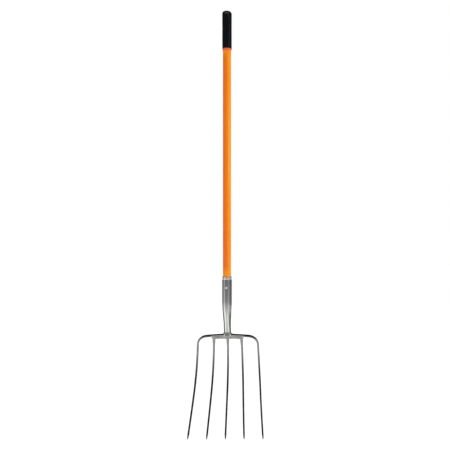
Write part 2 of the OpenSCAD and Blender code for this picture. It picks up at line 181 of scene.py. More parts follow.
# What the steel mirrors: tones of the studio's tent by height above the horizon in degrees, and by turn from
# the front, to the right, for its upper and its lower part, which fade into each other, and a bright strip
TENT_LEVEL = 1.65
TENT_BY_HEIGHT = (
    (-90, (0.82, 0.84, 0.81)), (-40, (0.82, 0.85, 0.8)), (-30, 0.65), (-20, 0.52), (-14, 0.4), (-9, 0.32),
    (-7, 0.27), (-4, 0.09), (3, 0.045), (22, 0.032), (90, 0.022),
)
UPPER_BY_TURN = (
    (-180, 0.4), (-127, 0.46), (-96, 0.4), (-82, 0.5), (-70, 0.95), (-63, 1.25), (-54, 1.25), (-46, 0.95),
    (-35, 0.52), (-24, 0.46), (-3, 0.5), (18, 0.5), (32, 0.64), (40, 0.82), (48, 0.8), (58, 0.58), (70, 0.52),
    (86, 0.36), (100, 0.3), (145, 0.35), (180, 0.4),
)
LOWER_BY_TURN = (
    (-180, 0.1), (-110, 0.05), (-80, 0.1), (-66, 0.4), (-52, 0.92), (-40, 0.92), (-26, 0.5), (-4, 0.48),
    (6, 0.52), (14, 0.84), (26, 0.88), (38, 0.4), (56, 0.25), (90, 0.06), (180, 0.1),
)
UPPER_TO_LOWER = (-29, -38)
STRIP_BY_HEIGHT = ((2, 0.0), (5, 2.6), (13, 2.6), (18, 0.0))
STRIP_BY_TURN = ((56, 0.0), (66, 1.0), (72, 1.0), (82, 0.0))

# Studio: lamps by name, place, width and height, all aimed at the fork's middle, the floor's gap and tones,
# and the camera's sensor, with the photo's slide and width in pixels
LAMPS = (
    ("key", (2.32, -0.62, -0.3), 1.2, 2.6),
    ("fill", (-1.8, -1.5, -0.4), 1.2, 2.4),
    ("back", (0.6, 2.6, 0.0), 2.0, 2.4),
)
LAMP_AIM = (0.0, 0.0, -0.8)
FLOOR_GAP = 0.0005
FLOOR_PAPER = 0.85
FLOOR_GLOW = 1.16
FLOOR_GLOW_SHARE = 0.8
SENSOR_WIDTH = 36.0
PHOTO_WIDTH = 450.0
PHOTO_SLIDE = -77.0


# Properties

def length(name, description, metres):
    return FloatProperty(name=name, description=description, default=metres, unit="LENGTH", precision=4)


def angle(name, description, degrees):
    return FloatProperty(name=name, description=description, default=math.radians(degrees), subtype="ANGLE")


def power(name, description, watts):
    return FloatProperty(name=name, description=description, default=watts, unit="POWER")


def colour(name, description, rgb):
    return FloatVectorProperty(name=name, description=description, default=rgb, subtype="COLOR", size=3,
                               min=0.0, max=1.0)


class HandleSizes(bpy.types.PropertyGroup):
    """Sizes of the handle, its grip and its fittings."""
    tube_radius: length("Tube radius", "Outside radius of the handle tube", TUBE_HIGH.x)
    tube_wall: length("Tube wall", "Wall of the handle tube", 0.003)
    tube_top: length("Tube top", "Height of the tube's upper end", TUBE_HIGH.z)
    tube_foot: length("Tube foot", "Height of the tube's lower end", TUBE_LOW.z)
    grip_radius: length("Grip radius", "Largest radius of the grip", GRIP_HIGH.x)
    grip_waist: length("Grip waist", "Radius of the grip's waist under the hand", 0.01855)
    grip_foot_radius: length("Grip foot radius", "Radius of the grip at its foot", 0.0186)
    grip_top: length("Grip top", "Height of the grip's end", GRIP_HIGH.z)
    grip_foot: length("Grip foot", "Height of the grip's foot", GRIP_LOW.z)
    grip_round: length("Grip rounding", "Radius of the grip's rounded end", 0.009)
    grip_crown: length("Grip crown", "Rise of the grip's end to its middle", 0.0006)
    band_radius: length("Band radius", "Radius of the coloured band", BAND_HIGH.x)
    band_lip: length("Band lip", "Thickness of the band's lower lip", 0.0006)
    band_foot: length("Band foot", "Height of the band's lower edge", BAND_LOW.z)
    ring_radius: length("Ring radius", "Radius of the bright ring", RING_HIGH.x)
    ring_top: length("Ring top", "Height of the ring's rolled edge", RING_HIGH.z)
    ring_round: length("Ring rounding", "Radius of the ring's rolled edge", 0.0014)
    ring_tuck: length("Ring tuck", "How far the ring is drawn in at its foot", 0.0007)
    groove_depth: length("Groove depth", "Depth of the groove under the rolled edge", 0.0004)
    groove_width: length("Groove width", "Width of the groove under the rolled edge", 0.0012)
    fit: length("Fit", "Clearance around the tube", 0.0001)


class HeadSizes(bpy.types.PropertyGroup):
    """Sizes of the socket, the neck, the shoulder and the tines."""
    socket_radius: length("Socket radius", "Outside radius of the socket", 0.01925)
    socket_mouth: length("Socket mouth", "Height of the socket's mouth", SOCKET_HIGH.z)
    socket_foot: length("Socket foot", "Straight part of the socket below the tube", 0.004)
    mouth_bevel: length("Mouth bevel", "Bevel on the socket's mouth", 0.0008)
    rivet_drop: length("Rivet drop", "Distance of the rivet below the mouth", 0.03)
    rivet_radius: length("Rivet radius", "Radius of the rivet's shank", 0.003)
    rivet_head_radius: length("Rivet head", "Radius of the rivet's domed head", 0.00475)
    rivet_head_rim: length("Rivet rim", "Height of the rivet head's rim over the socket", 0.0005)
    rivet_tail_radius: length("Rivet tail", "Radius of the rivet's closed end", 0.0043)
    rivet_fit: length("Rivet fit", "Clearance of the rivet and its washer", 0.00005)
    washer_radius: length("Washer radius", "Radius of the washer at the back", 0.007)
    washer_thick: length("Washer thickness", "Washer over the socket's wall", 0.0016)
    neck_length: length("Neck length", "Length of the neck along its bend", 0.138)
    neck_width: length("Neck width", "Width of the neck at its foot", 0.0284)
    neck_depth: length("Neck depth", "Depth of the neck at its foot", 0.0125)
    head_lean: angle("Head lean", "Backward lean of the neck's foot", 13.0)
    weld_side: length("Weld side", "Reach of the neck's weld to its sides", 0.0065)
    weld_front: length("Weld front", "Reach of the neck's weld to its front and back", 0.0044)
    weld_height: length("Weld height", "Height of the neck's weld", 0.0105)
    weld_gap: length("Weld gap", "Gap between the solids that a weld joins", 0.00015)
    shoulder_width: length("Shoulder width", "Width between the outer tines under their bends", 0.2435)
    bow_height: length("Bar height", "Height of the shoulder bar", 0.0076)
    bow_depth: length("Bar depth", "Depth of the shoulder bar at its ends", 0.011)
    bow_mid_depth: length("Bar middle depth", "Depth of the shoulder bar under the neck", 0.019)
    bow_swell: length("Bar swell", "Width of the deep part of the shoulder bar", 0.06)
    bend_radius: length("Bend radius", "Radius of the outer bends", 0.038)
    bow_droop: angle("Bar droop", "Slope of the shoulder bar where its bends start", 6.5)
    web_height: length("Band height", "Height of the band under the shoulder", 0.011)
    web_depth: length("Band depth", "Thickness of that band", 0.007)
    tine_length: length("Tine length", "Length of a tine along its curve", 0.40615)
    dish_radius: length("Dish radius", "Radius of the tines' dish", 0.45)
    tip_lean: angle("Tip lean", "Forward lean of the tines' lower ends", 17.5)
    tip_width: length("Tip width", "Width between the outer points", 0.2955)
    inner_root_width: length("Inner root width", "Width between the inner tines at their roots", 0.113)
    inner_tip_width: length("Inner tip width", "Width between the inner points", 0.147)
    root_width: length("Root width", "Width of an inner tine's root", 0.011)
    root_length: length("Root length", "Length over which a root narrows", 0.028)
    root_fillet: length("Root fillet", "Radius between the band and a root", 0.004)
    outer_flare: length("Outer flare", "Flare of the inner tines' outer edges", 0.005)
    tine_width: length("Tine width", "Width of a tine below its root", 0.008)
    tine_depth: length("Tine depth", "Depth of a tine below its root", 0.00794)
    tip_thick: length("Tip thickness", "Width of a tine where its point starts", 0.0069)
    tip_depth: length("Tip depth", "Depth of a tine where its point starts", 0.0062)
    point_length: length("Point length", "Length of a point", 0.018)
    point_blunt: length("Point end", "Width of a point's blunted end", 0.0017)
    seam_leg: length("Seam leg", "Leg of the welds that hold the inner tines", 0.0018)


class Finishes(bpy.types.PropertyGroup):
    """Colours of the fork's finishes."""
    rubber: colour("Rubber", "Colour of the grip", (0.003, 0.0037, 0.0052))
    rubber_glint: colour("Painted rubber glint", "Colour of the highlight painted on the grip's rim", (0.055, 0.052, 0.04))
    coral: colour("Band", "Colour of the band at the grip's foot", (0.8, 0.115, 0.05))
    # The tube's deep and pale colours are painted shade and painted light on its left and right sides
    orange_deep_painted_shade: colour("Tube, painted shade", "Colour of the tube on its side with painted shade", (0.88, 0.15, 0.006))
    orange: colour("Tube", "Colour of the handle tube", (0.88, 0.212, 0.006))
    orange_pale_painted_light: colour("Tube, painted light", "Colour of the tube on its side with painted light", (0.885, 0.295, 0.007))
    orange_painted_end_light: colour("Tube ends, painted light", "Colour of the tube at its ring and its band", (0.89, 0.275, 0.007))
    ring: colour("Ring", "Colour of the bright ring", (0.96, 0.89, 0.75))
    steel: colour("Steel", "Colour of the ground steel", (0.6, 0.605, 0.6))
    steel_painted_dark: colour("Steel, painted dark", "Colour of the steel where a dark reflection is painted", (0.05, 0.051, 0.055))
    bright: colour("Rivet", "Colour of the rivet", (0.78, 0.78, 0.76))
    foam: colour("Foam", "Colour of the tube's filling", (0.78, 0.68, 0.35))
    plug: colour("Plug", "Colour of the tube's upper plug", (0.04, 0.045, 0.05))
    wood: colour("Wood", "Colour of the plug that the rivet goes through", (0.45, 0.3, 0.14))


class StudioSizes(bpy.types.PropertyGroup):
    """Camera and light of the studio."""
    eye: FloatVectorProperty(name="Eye", description="Place of the camera", default=(0.3, -1.96, -0.8),
                             subtype="TRANSLATION", unit="LENGTH", size=3)
    lens: FloatProperty(name="Lens", description="Focal length in millimetres", default=39.2, unit="CAMERA")
    slide: FloatProperty(name="Slide", description="Sideways shift of the lens, which keeps the fork upright",
                         default=PHOTO_SLIDE / PHOTO_WIDTH)
    floor_size: length("Floor size", "Width of the floor", 16.0)
    key: power("Key", "Power of the right lamp", 47.0)
    fill: power("Fill", "Power of the left lamp", 23.0)
    back: power("Back", "Power of the lamp behind", 34.0)
    ambient: FloatProperty(name="Ambient", description="Strength of the light from all round", default=0.5)


# Small sums

def mix(a, b, q):
    return a + (b - a) * q


def ease(q):
    c = max(0.0, min(1.0, q))
    return c * c * (3.0 - 2.0 * c)


def fade(value, start, width):
    """0 up to start, 1 from start + width on, and smooth between."""
    return ease((value - start) / width)


def steps(count, first=1):
    """Shares of a run of count steps, from the given step up to 1."""
    return [i / count for i in range(first, count + 1)]


# Layout of the head, as in the solids

class Head:
    """The head is laid out flat, with x across and z down, and then laid on the dish."""

    def __init__(self, context):
        self.sizes = sizes = context.scene.fork_head
        self.socket_end = context.scene.fork_handle.tube_foot - sizes.socket_foot
        self.lean = sizes.head_lean
        self.neck_radius = sizes.neck_length / self.lean
        self.seat = sizes.bow_height / 2 + sizes.weld_gap
        foot = self.neck_matrix(1.0).translation
        self.bow_y = foot.y + self.seat * math.sin(self.lean)
        self.bow_z = foot.z - self.seat * math.cos(self.lean)
        self.outer_root = sizes.shoulder_width / 2
        self.outer_tip = sizes.tip_width / 2
        self.inner_root = sizes.inner_root_width / 2
        self.inner_tip = sizes.inner_tip_width / 2
        self.seam = self.inner_root / 2
        run = sizes.tine_length - sizes.bend_radius
        slope = ROOT_SLOPE_SHARE * (self.outer_tip - self.outer_root) / run
        self.bend_turn = math.pi / 2 - math.atan(slope)
        droop = sizes.bow_droop
        reach = sizes.bend_radius * (math.sin(self.bend_turn) - math.sin(droop))
        self.bend_start = self.outer_root - reach
        self.droop_radius = self.bend_start / math.sin(droop)
        self.bend_x = self.bend_start - sizes.bend_radius * math.sin(droop)
        self.bend_s = self.droop_radius * (1 - math.cos(droop)) + sizes.bend_radius * math.cos(droop)
        self.root_s = self.bend_s - sizes.bend_radius * math.cos(self.bend_turn)
        self.point_s = sizes.tine_length - sizes.point_length
        self.dish_s = sizes.dish_radius * (self.lean + sizes.tip_lean)
        self.web_foot = self.seat + sizes.web_height
        self.fillet_foot = self.web_foot + sizes.root_fillet
        self.root_foot = self.fillet_foot + sizes.root_length

    def neck_matrix(self, q):
        """Place of the neck's section at a share q of its length: x across, y to the back, z up."""
        lean = self.lean * q
        y = self.neck_radius * (1 - math.cos(lean))
        z = self.socket_end - self.neck_radius * math.sin(lean)
        return Matrix.Translation((0, y, z)) @ Matrix.Rotation(lean, 4, "X")

    def neck_half(self, q):
        """Half width and half depth of the neck at a share q of its length."""
        radius = self.sizes.socket_radius
        half_w = mix(radius, self.sizes.neck_width / 2, ease(q / NECK_TAPER_SHARE))
        return half_w, mix(radius, self.sizes.neck_depth / 2, ease(q / DEPTH_TAPER_SHARE))

    def drop(self, x):
        """How far the drooping bar lies below its middle."""
        return self.droop_radius - math.sqrt(max(0.0, self.droop_radius ** 2 - x * x))

    def splay(self, root, tip, s):
        """Place across of a tine at a length s."""
        q = (s - self.root_s) / (self.sizes.tine_length - self.root_s)
        return mix(root, tip, ROOT_SLOPE_SHARE * q + (1 - ROOT_SLOPE_SHARE) * q * q)

    def splay_turn(self, root, tip, s):
        """Heading of a tine at a length s, a quarter turn where it heads down."""
        run = self.sizes.tine_length - self.root_s
        q = (s - self.root_s) / run
        slope = (tip - root) / run * (ROOT_SLOPE_SHARE + 2 * (1 - ROOT_SLOPE_SHARE) * q)
        return math.pi / 2 - math.atan(slope)

    def dished(self, flat):
        """Lays a point of the flat layout on the dish and its straight lower end."""
        s, t = -flat.z, -flat.y
        radius = self.sizes.dish_radius
        lean = max(-self.sizes.tip_lean, self.lean - s / radius)
        straight = max(0.0, s - self.dish_s)
        y = self.bow_y + radius * (math.cos(lean) - math.cos(self.lean)) + straight * math.sin(lean)
        z = self.bow_z - radius * (math.sin(self.lean) - math.sin(lean)) - straight * math.cos(lean)
        return Vector((flat.x, y - t * math.cos(lean), z - t * math.sin(lean)))

    def point_half(self, half, p):
        """Half size at a share p of a point that starts with half."""
        return mix(self.sizes.point_blunt / 2, half, (1 - p) ** POINT_SHARE)

    def point_rows(self):
        """Length, half width and half depth along a point."""
        sizes = self.sizes
        for p in steps(POINT_STEPS):
            yield (mix(self.point_s, sizes.tine_length, p), self.point_half(sizes.tip_thick / 2, p),
                   self.point_half(sizes.tip_depth / 2, p))

    def blade_share(self, s):
        return (s - self.root_foot) / (self.point_s - self.root_foot)

    def tine_half(self, s):
        """Half width of an inner tine at a length s."""
        sizes = self.sizes
        if s <= self.root_foot:
            q = ease((s - self.fillet_foot) / sizes.root_length)
            return mix(sizes.root_width, sizes.tine_width, q) / 2
        return mix(sizes.tine_width, sizes.tip_thick, self.blade_share(s)) / 2

    def tine_half_depth(self, s):
        """Half depth of an inner tine at a length s."""
        sizes = self.sizes
        if s <= self.root_foot:
            q = ease((s - self.web_foot) / (self.root_foot - self.web_foot))
            return mix(sizes.web_depth, sizes.tine_depth, q) / 2
        return mix(sizes.tine_depth, sizes.tip_depth, self.blade_share(s)) / 2


# Mesh helpers

def loop_edges(bm, ring):
    return [bm.edges.get(pair) for pair in zip(ring, ring[1:] + ring[:1])]


def extrude_ring(bm, ring):
    """Extrudes a closed ring of vertices and returns the new ring in the same order."""
    made = bmesh.ops.extrude_edge_only(bm, edges=loop_edges(bm, ring))["geom"]
    new = {item for item in made if isinstance(item, bmesh.types.BMVert)}
    return [next(e.other_vert(v) for e in v.link_edges if e.other_vert(v) in new) for v in ring]


def cap(bm):
    """Closes every open end."""
    bmesh.ops.holes_fill(bm, edges=[e for e in bm.edges if e.is_boundary], sides=0)


def loft(bm, places, flank_fade):
    """Runs a unit circle through places, each with the painted dark reflection on its flanks, and returns
    both end rings.
    """
    layer = bm.verts.layers.float.new(PAINTED_DARK_LAYER)
    first = ring = bmesh.ops.create_circle(bm, cap_ends=False, radius=1.0, segments=NECK_SIDES)["verts"]
    flanks = [fade(abs(vert.co.x), *flank_fade) for vert in ring]
    before = Matrix.Identity(4)
    for i, (place, scale) in enumerate(places):
        if i:
            ring = extrude_ring(bm, ring)
        for vert, flank in zip(ring, flanks):
            vert[layer] = flank * scale
        bmesh.ops.transform(bm, matrix=place @ before.inverted(), verts=ring)
        before = place
    return first, ring


def rounded_ring(bm):
    """A square with rounded corners: its vertices, and each one's corner and way from the corner's centre."""
    plane = bmesh.ops.create_grid(bm, x_segments=1, y_segments=1, size=1.0)["verts"]
    rounded = bmesh.ops.bevel(bm, geom=plane, offset=0.5, affect="VERTICES", segments=CORNER_SEGMENTS,
                              profile=0.5, material=-1)
    face = rounded["verts"][0].link_faces[0]
    ring = [loop.vert for loop in face.loops]
    corners = [Vector((math.copysign(0.5, v.co.x), math.copysign(0.5, v.co.y))) for v in ring]
    rounds = [(v.co.xy - corner) * 2 for v, corner in zip(ring, corners)]
    bmesh.ops.delete(bm, geom=[face], context="FACES_ONLY")
    return ring, list(zip(corners, rounds))


def sweep(bm, stations):
    """Runs a rounded section along stations of (matrix, left, right, half depth), and returns its last ring.

    A station may end with the painted dark reflection on its right side and on the rest of it.
    """
    layer = bm.verts.layers.float.new(PAINTED_DARK_LAYER)
    ring, rounds = rounded_ring(bm)
    for i, (matrix, left, right, half, *scale) in enumerate(stations):
        if i:
            ring = extrude_ring(bm, ring)
        radius = BAR_CORNER_SHARE * min((left + right) / 2, half)
        for vert, (corner, way) in zip(ring, rounds):
            x = right - radius if corner.x > 0 else radius - left
            y = half - radius if corner.y > 0 else radius - half
            vert.co = matrix @ Vector((x + radius * way.x, y + radius * way.y, 0.0))
            if scale:
                vert[layer] = mix(scale[1], scale[0], min(1.0, CORNER_PAINTED_DARK_RATE * max(0.0, way.x)))
    return ring


def bar_matrix(x, s, turn):
    """Place of a bar's section in the flat layout: turn is 0 heading right, and a quarter heading down."""
    across = Vector((math.sin(turn), 0, math.cos(turn)))
    front = Vector((0, -1, 0))
    ahead = across.cross(front)
    matrix = Matrix((across, front, ahead)).transposed().to_4x4()
    return Matrix.Translation((x, 0, -s)) @ matrix


def turned(profile, closed, matrix=Matrix.Identity(4)):
    """Spins a profile of (radius, height, rounding) about +Z, moves it by matrix and returns its mesh."""
    bm = bmesh.new()
    verts = [bmesh.ops.create_vert(bm, co=(r, 0, z))["vert"][0] for r, z, rounding in profile]
    pairs = list(zip(verts, verts[1:]))
    if closed:
        pairs.append((verts[-1], verts[0]))
    for pair in pairs:
        bmesh.ops.contextual_create(bm, geom=pair)
    for vert, (r, z, rounding) in zip(verts, profile):
        if rounding:
            bmesh.ops.bevel(bm, geom=[vert], offset=rounding, affect="VERTICES", segments=ROUND_SEGMENTS,
                            profile=0.5, material=-1)
    bmesh.ops.spin(bm, geom=bm.verts[:] + bm.edges[:], cent=(0, 0, 0), axis=(0, 0, 1), angle=math.tau,
                   steps=TURN_STEPS, use_merge=True)
    bmesh.ops.remove_doubles(bm, verts=bm.verts, dist=MERGE)
    bmesh.ops.transform(bm, matrix=matrix, verts=bm.verts)
    return bm


def finish_piece(bm, name, node, material, sharp=SHARP_ANGLE):
    """Closes the mesh, makes it an object in place of its solid, and gives it its finish."""
    bmesh.ops.remove_doubles(bm, verts=bm.verts, dist=MERGE)
    bmesh.ops.recalc_face_normals(bm, faces=bm.faces)
    for face in bm.faces:
        face.smooth = True
    mesh = bpy.data.meshes.new(name)
    bm.to_mesh(mesh)
    bm.free()
    mesh.set_sharp_from_angle(angle=math.radians(sharp))
    mesh.materials.append(material)
    piece = bpy.data.objects.new(name, mesh)
    bpy.context.scene.collection.objects.link(piece)
    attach(piece, "root")
    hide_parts(node)


# Finishes

class Sheet:
    """Nodes of one material or of the world, added one by one."""

    def __init__(self, tree):
        self.tree = tree

    def plug(self, target, value):
        """Links another node's socket to target, or sets target to a plain value."""
        if isinstance(value, bpy.types.NodeSocket):
            self.tree.links.new(value, target)
        else:
            target.default_value = value

    def plug_named(self, node, sockets):
        """Plugs values into the sockets of a node, whose names have underscores for spaces."""
        for socket, value in sockets.items():
            self.plug(node.inputs[socket.replace("_", " ")], value)

    def plug_row(self, node, *values):
        """Plugs values into the first sockets of a node, in their order."""
        for target, value in zip(node.inputs, values):
            self.plug(target, value)

    def add(self, kind, **sockets):
        node = self.tree.nodes.new(kind)
        self.plug_named(node, sockets)
        return node

    def ramp(self, fac, *stops):
        """Colour ramp over fac. A stop is a position and a colour or a grey tone."""
        node = self.add("ShaderNodeValToRGB", Fac=fac)
        elements = node.color_ramp.elements
        while len(elements) < len(stops):
            elements.new(0.5)
        for element, (position, tone) in zip(elements, stops):
            element.position = position
            element.color = (*((tone,) * 3 if isinstance(tone, float) else tone), 1.0)
        return node.outputs["Color"]

    def span(self, value, low, high, to_low, to_high):
        return self.add("ShaderNodeMapRange", Value=value, From_Min=low, From_Max=high, To_Min=to_low,
                        To_Max=to_high).outputs["Result"]

    def blend(self, fac, first, second, kind="MIX"):
        node = self.tree.nodes.new("ShaderNodeMix")
        node.data_type = "RGBA"
        node.blend_type = kind
        for i, value in ((0, fac), (6, first), (7, second)):
            plain = isinstance(value, (float, bpy.types.NodeSocket))
            self.plug(node.inputs[i], value if plain else (*value, 1.0))
        return node.outputs[2]

    def reckon(self, kind, *values):
        node = self.tree.nodes.new("ShaderNodeMath")
        node.operation = kind
        self.plug_row(node, *values)
        return node.outputs[0]

    def shaders(self, fac, first, second):
        node = self.tree.nodes.new("ShaderNodeMixShader")
        self.plug_row(node, fac, first, second)
        return node.outputs[0]


def cleared(owner):
    """Sheet of an owner whose nodes are all new."""
    owner.use_nodes = True
    owner.node_tree.nodes.clear()
    return Sheet(owner.node_tree)


class Finish(Sheet):
    """A material on object coordinates. Constants are set on the shader's own sockets."""

    def __init__(self, name, **constants):
        self.material = bpy.data.materials.new(name)
        self.material.use_nodes = True
        super().__init__(self.material.node_tree)
        self.shader = self.tree.nodes["Principled BSDF"]
        self.wear(**constants)

    def wear(self, **sockets):
        self.plug_named(self.shader, sockets)
        return self.material

    def coords(self):
        return self.add("ShaderNodeTexCoord").outputs["Object"]

    def axes(self):
        return self.add("ShaderNodeSeparateXYZ", Vector=self.coords()).outputs

    def noise(self, size, detail=3.0, rough=0.5, stretch=(1.0, 1.0, 1.0), offset=(0.0, 0.0, 0.0)):
        """Noise with features of about the given size in metres. A small number in stretch draws it out."""
        place = self.add("ShaderNodeMapping", Vector=self.coords(), Location=offset, Scale=stretch)
        return self.add("ShaderNodeTexNoise", Vector=place.outputs["Vector"], Scale=1.0 / size, Detail=detail,
                        Roughness=rough).outputs["Fac"]

    def mottled(self, grain, rgb, low, high):
        """Colour that grain varies between two strengths of rgb."""
        return self.ramp(grain, *((at, shade(rgb, factor)) for at, factor in zip(GRAIN, (low, high))))

    def varied(self, grain, low, high):
        """Number that grain varies between low and high."""
        return self.span(grain, *GRAIN, low, high)

    def painted_dark_mask(self):
        node = self.add("ShaderNodeAttribute")
        node.attribute_name = PAINTED_DARK_LAYER
        return node.outputs["Fac"]

    def bump(self, height, distance, **sockets):
        return self.add("ShaderNodeBump", Height=height, Distance=distance, **sockets).outputs["Normal"]


def shade(rgb, factor):
    return tuple(min(1.0, c * factor) for c in rgb)


def grained_finish(name, rgb, grain, shades, roughness, relief, **constants):
    """A finish whose colour, roughness and relief all follow one grain."""
    finish = Finish(name, **constants)
    grain = finish.noise(**grain)
    return finish.wear(
        Base_Color=finish.mottled(grain, rgb, *shades),
        Roughness=finish.varied(grain, *roughness),
        Normal=finish.bump(grain, relief),
    )


def rubber_finish(colours):
    """Black moulded rubber with a fine stipple and a painted highlight on the front of its rim."""
    finish = Finish("moulded_rubber", Specular_IOR_Level=0.3)
    mottle = finish.noise(0.012, detail=4.0)
    stipple = finish.noise(0.0007, detail=2.0)
    scuff = finish.noise(0.004, detail=5.0, rough=0.6, stretch=(1.0, 1.0, 0.25))
    place = finish.axes()
    # Mask of the highlight painted on the front of the grip's rim
    rim = finish.reckon("MULTIPLY", finish.span(place["Z"], *GLINT_RISES, 0.0, 1.0),
                        finish.span(place["Z"], *GLINT_FALLS, 1.0, 0.0))
    aside = finish.reckon("ABSOLUTE", finish.reckon("SUBTRACT", place["X"], GLINT_MIDDLE))
    rim = finish.reckon("MULTIPLY", rim, finish.span(aside, *GLINT_FADES, 1.0, 0.0))
    base = finish.mottled(mottle, colours.rubber, 0.8, 1.25)
    return finish.wear(
        # Painted highlight: the glint colour laid over the rubber where the rim mask is
        Base_Color=finish.blend(rim, base, colours.rubber_glint),
        Roughness=finish.varied(scuff, 0.42, 0.56),
        Normal=finish.bump(stipple, 0.00012),
    )


def coral_finish(colours):
    finish = Finish("coral_plastic", Specular_IOR_Level=0.3)
    mottle = finish.noise(0.006)
    return finish.wear(
        Base_Color=finish.mottled(mottle, colours.coral, 0.94, 1.05),
        Roughness=finish.varied(mottle, 0.34, 0.44),
        Normal=finish.bump(finish.noise(0.0012, detail=2.0), 0.00003),
    )


def tube_finish(colours):
    """Glossy resin with long fibres, with painted shade on its left and painted light on its right, deeper
    towards the foot, and with painted light at both ends.
    """
    finish = Finish("orange_fibre_tube", Coat_Weight=0.7, Coat_Roughness=0.09, Specular_IOR_Level=0.1)
    fibres = finish.noise(0.0022, rough=0.6, stretch=(1.0, 1.0, 0.012))
    strands = finish.noise(0.0008, detail=2.0, rough=0.6, stretch=(1.0, 1.0, 0.02), offset=(3.0, 1.0, 2.0))
    cloud = finish.noise(0.09, detail=2.0)
    place = finish.axes()
    # Painted shade on the left of the tube and painted light on its right, as a change of hue across X
    side = finish.span(place["X"], -TUBE_HIGH.x, TUBE_HIGH.x, -0.25, 0.75)
    resin = finish.reckon("ADD", side, finish.reckon("MULTIPLY", fibres, 0.5))
    resin = finish.reckon("ADD", resin, finish.span(place["Z"], *TUBE_DEEPENS, -0.18, 0.0))
    base = finish.ramp(resin, (0.08, colours.orange_deep_painted_shade), (0.5, colours.orange), (0.92, colours.orange_pale_painted_light))
    # Painted light at both ends of the tube, by the ring and by the band
    ends = finish.reckon("ADD", finish.span(place["Z"], *TUBE_FOOT_PAINTED_LIGHT, 1.0, 0.0),
                         finish.span(place["Z"], *TUBE_TOP_PAINTED_LIGHT, 0.0, 1.0))
    base = finish.blend(ends, base, colours.orange_painted_end_light)
    tint = finish.ramp(cloud, (GRAIN[0], (0.97, 0.95, 0.95)), (GRAIN[1], 1.0))
    return finish.wear(
        Base_Color=finish.blend(1.0, base, tint, "MULTIPLY"),
        Roughness=finish.varied(strands, 0.26, 0.4),
        Normal=finish.bump(strands, 0.00005),
    )


def ring_finish(colours):
    """Bright metal with fine lines from turning and a faint stain."""
    finish = Finish("bright_ring", Metallic=0.8)
    lines = finish.noise(0.0005, detail=2.0, rough=0.6, stretch=(0.02, 0.02, 1.0))
    stain = finish.noise(0.01, detail=4.0)
    return finish.wear(
        Base_Color=finish.ramp(stain, (0.35, shade(colours.ring, 0.86)), (0.65, colours.ring)),
        Roughness=finish.varied(lines, 0.12, 0.2),
        Normal=finish.bump(lines, 0.00002),
    )


def socket_finish(colours):
    """Steel ground along its length, with a painted dark reflection, dull and not metallic, on the neck's
    flanks.
    """
    finish = Finish("ground_socket_steel", Specular_IOR_Level=0.15)
    grind = finish.noise(0.0009, detail=4.0, rough=0.6, stretch=(1.0, 1.0, 0.03))
    cloud = finish.noise(0.012, detail=5.0, rough=0.6, stretch=(1.0, 1.0, 0.4))
    # Mask of the dark reflection painted on the neck's flanks
    left = finish.painted_dark_mask()
    dull = finish.span(left, 0.0, 1.0, 0.0, 0.6)
    return finish.wear(
        Base_Color=finish.blend(left, finish.mottled(cloud, colours.steel, 1.2, 1.34), colours.steel_painted_dark),
        Metallic=finish.span(left, 0.0, 1.0, 1.0, 0.0),
        Roughness=finish.reckon("MAXIMUM", finish.varied(grind, 0.12, 0.2), dull),
        Normal=finish.bump(grind, 0.000015),
    )


def tine_finish(colours):
    """Forged steel, made once for all tines: worn bright, with a painted dark reflection on the bar and on
    the lower blades.
    """
    name = "forged_tine_steel"
    if name in bpy.data.materials:
        return bpy.data.materials[name]
    finish = Finish(name, Metallic=1.0)
    grind = finish.noise(0.0011, detail=4.0, rough=0.6, stretch=(1.0, 1.0, 0.05))
    cloud = finish.noise(0.009, detail=6.0, rough=0.62)
    dents = finish.noise(0.006)
    tones = ((0.32, 0.68), (0.5, 0.88), (0.72, 0.98))
    base = finish.ramp(cloud, *((at, shade(colours.steel, factor)) for at, factor in tones))
    worn = finish.span(finish.noise(0.005), 0.35, 0.7, 0.0, 0.22)
    # Painted dark reflection on the bar, less where the steel is worn bright
    left = finish.reckon("SUBTRACT", finish.painted_dark_mask(), worn)
    # Painted dark reflection on the lower blades, below their roots
    left = finish.reckon("MAXIMUM", left, finish.span(finish.axes()["Z"], *BLADES_PAINTED_DARK, 0.38, 0.0))
    return finish.wear(
        Base_Color=finish.blend(left, base, colours.steel_painted_dark),
        Roughness=finish.varied(cloud, 0.24, 0.15),
        Normal=finish.bump(grind, 0.00004, Normal=finish.bump(dents, 0.00008)),
    )


def bead_finish(colours):
    pits = {"size": 0.0016, "detail": 5.0, "rough": 0.6}
    return grained_finish("dressed_weld", colours.steel, pits, shades=(0.6, 0.95), roughness=(0.48, 0.32),
                          relief=0.0002, Metallic=1.0)


def neck_weld_finish(colours):
    """Ground like the neck at its sides, with the neck's painted dark reflection on its flanks, and a rough
    toe in front and behind, darkened by painted shade.
    """
    finish = Finish("ground_flare", Metallic=0.35)
    aside = finish.reckon("ABSOLUTE", finish.axes()["X"])
    # Painted shade on the weld's rough toe, in the hollow at the middle of the neck's foot
    toe = finish.span(aside, *TOE_FADES, 0.0, 1.0)
    pits = finish.noise(0.0016, detail=5.0, rough=0.6)
    dull = finish.mottled(pits, colours.steel, 0.36, 0.5)
    ground = finish.mottled(pits, colours.steel, 1.15, 1.3)
    return finish.wear(
        Base_Color=finish.blend(toe, finish.blend(finish.painted_dark_mask(), ground, colours.steel_painted_dark), dull),
        Roughness=finish.span(toe, 0.0, 1.0, 0.16, 0.5),
        Normal=finish.bump(finish.reckon("MULTIPLY", pits, toe), 0.0002),
    )


def rivet_finish(colours):
    scuff = {"size": 0.0014, "detail": 4.0}
    return grained_finish("bright_rivet", colours.bright, scuff, shades=(0.85, 1.0), roughness=(0.22, 0.36),
                          relief=0.00005, Metallic=0.4)


